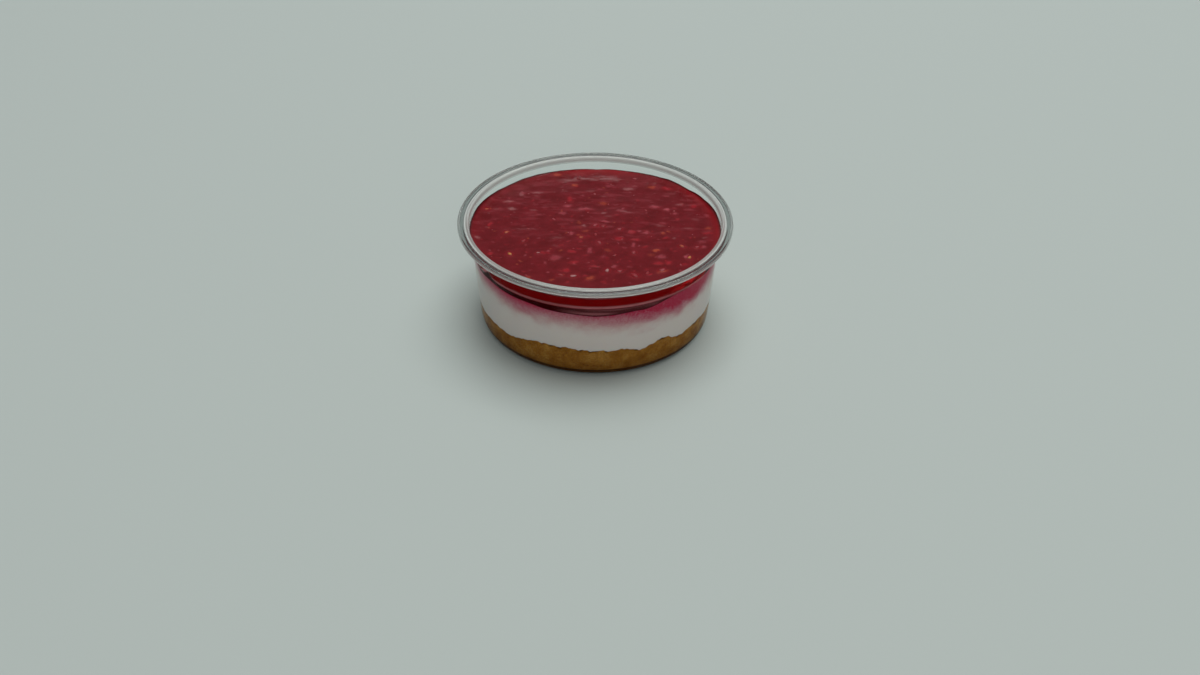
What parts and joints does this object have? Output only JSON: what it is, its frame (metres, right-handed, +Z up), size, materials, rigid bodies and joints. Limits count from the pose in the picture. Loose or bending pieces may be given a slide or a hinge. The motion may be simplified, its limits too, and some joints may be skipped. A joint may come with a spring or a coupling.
{
  "type": "cheesecake cup",
  "caption": "Round clear plastic cup with a flanged rim, filled with a biscuit base, a cream cheese layer and a seeded red berry topping.",
  "frame": {"origin": "centre of the foot ring's rest plane", "axes": "+Z up along the cup's axis, -Y towards the side that the picture shows"},
  "size_m": [0.101, 0.101, 0.041],
  "materials": {
    "clear_plastic": "clear moulded PET, glossy, with fine haze at the rim",
    "biscuit_crumb": "pressed buttered biscuit crumb, matte, uneven, with darker specks",
    "cream_cheese": "soft cream cheese, smooth and slightly moist, stained pink under the topping",
    "berry_jelly": "set red berry puree, glossy and wet, with seeds and bits of pulp"
  },
  "bodies": {
    "root": {"clear_cup": "clear_plastic", "biscuit_base": "biscuit_crumb", "cream_filling": "cream_cheese", "berry_topping": "berry_jelly"}
  },
  "joints": []
}
